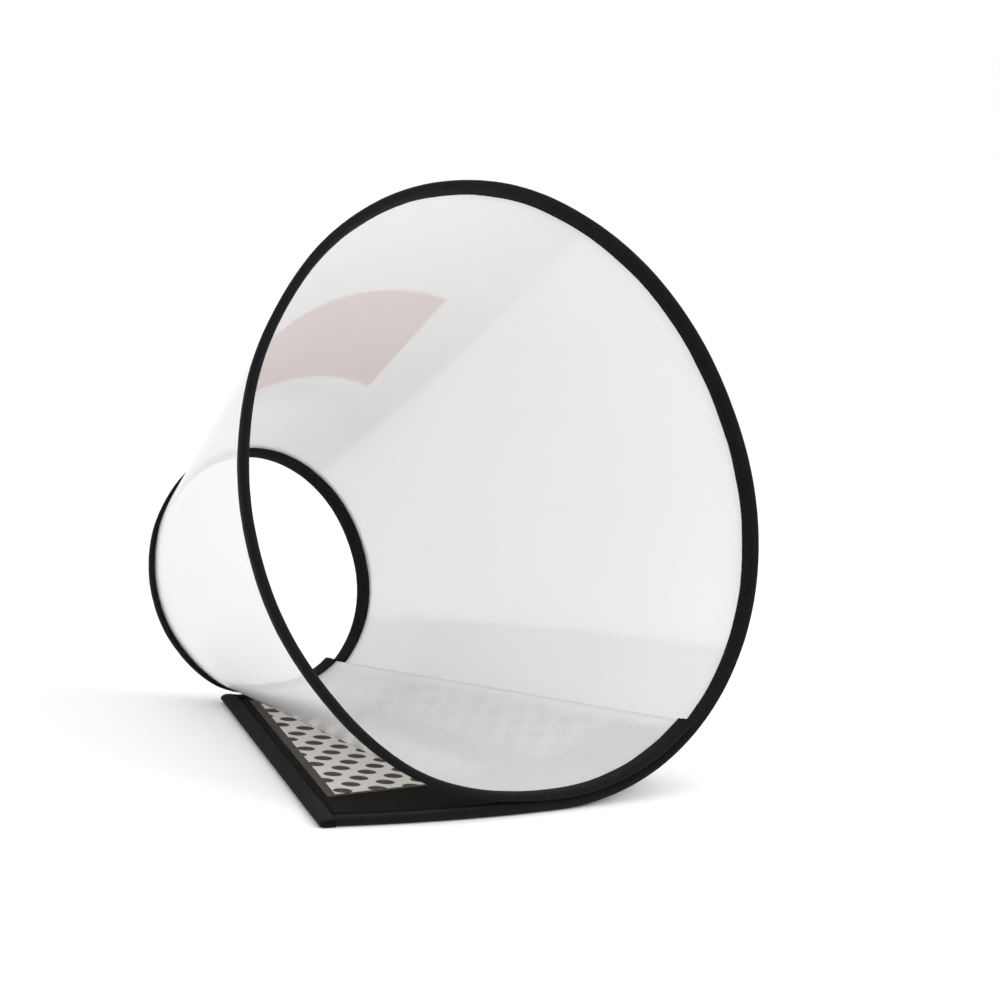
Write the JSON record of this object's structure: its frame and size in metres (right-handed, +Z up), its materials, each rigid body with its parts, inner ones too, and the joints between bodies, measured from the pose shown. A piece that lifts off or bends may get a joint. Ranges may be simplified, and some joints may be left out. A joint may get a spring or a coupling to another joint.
{
  "type": "elizabethan collar",
  "caption": "Cone-shaped recovery collar for a pet: a clear film sheet rolled into a cone, with cloth binding on its edges, a hook-and-loop closure panel and a free flap.",
  "frame": {"origin": "middle of the collar's footprint on the floor, under the rolled cone", "axes": "+Z up; +X along the line where the cone touches the floor, out of the mouth; the flap lies on the -Y side"},
  "size_m": [0.2986, 0.3062, 0.2877],
  "materials": {
    "film": "frosted translucent film, smooth",
    "binding": "black soft folded cloth tape",
    "thread": "black sewing thread",
    "label": "glossy orange printed sticker",
    "loop": "black brushed loop fabric",
    "facing": "white perforated facing",
    "hook": "black ridged hook tape"
  },
  "bodies": {
    "bottom": {"film_bottom": "film", "rim_binding_bottom": "binding", "neck_binding_bottom": "binding", "rim_stitching_bottom": "thread", "neck_stitching_bottom": "thread", "loop_backing_bottom": "loop", "loop_facing_bottom": "facing"},
    "flap": {"film_flap": "film", "rim_binding_flap": "binding", "neck_binding_flap": "binding", "end_binding_flap": "binding", "rim_stitching_flap": "thread", "neck_stitching_flap": "thread", "end_stitching_flap": "thread", "loop_backing_flap": "loop", "loop_facing_flap": "facing"},
    "upper_wall": {"film_upper": "film", "rim_binding_upper": "binding", "neck_binding_upper": "binding", "rim_stitching_upper": "thread", "neck_stitching_upper": "thread", "size_label": "label"},
    "side_wall": {"film_side": "film", "rim_binding_side": "binding", "neck_binding_side": "binding", "rim_stitching_side": "thread", "neck_stitching_side": "thread"},
    "inner_end": {"film_inner": "film", "rim_binding_inner": "binding", "neck_binding_inner": "binding", "rim_stitching_inner": "thread", "neck_stitching_inner": "thread", "hook_tape": "hook"}
  },
  "joints": [
    {"name": "flap_lift", "type": "hinge", "parent": "bottom", "child": "flap", "pos_m": [0.02072, -0.03566, 0.0048], "axis": [-0.9936, 0.1132, 0], "range_deg": [0, 18]},
    {"name": "unroll_upper", "type": "hinge", "parent": "bottom", "child": "upper_wall", "pos_m": [-0.02772, 0.10331, 0.1385], "axis": [-0.843, -0.3214, -0.4313], "range_deg": [0, 80]},
    {"name": "unroll_side", "type": "hinge", "parent": "upper_wall", "child": "side_wall", "pos_m": [-0.04145, -0.07774, 0.17622], "axis": [-0.8003, 0.2418, -0.5487], "range_deg": [0, 56]},
    {"name": "unroll_inner", "type": "hinge", "parent": "side_wall", "child": "inner_end", "pos_m": [0.00394, -0.09521, 0.05151], "axis": [-0.9415, 0.2962, -0.1607], "range_deg": [0, 32]}
  ],
  "couplings": [
    {"joint": "unroll_side", "follows": "unroll_upper", "ratio": 0.7},
    {"joint": "unroll_inner", "follows": "unroll_upper", "ratio": 0.4}
  ]
}
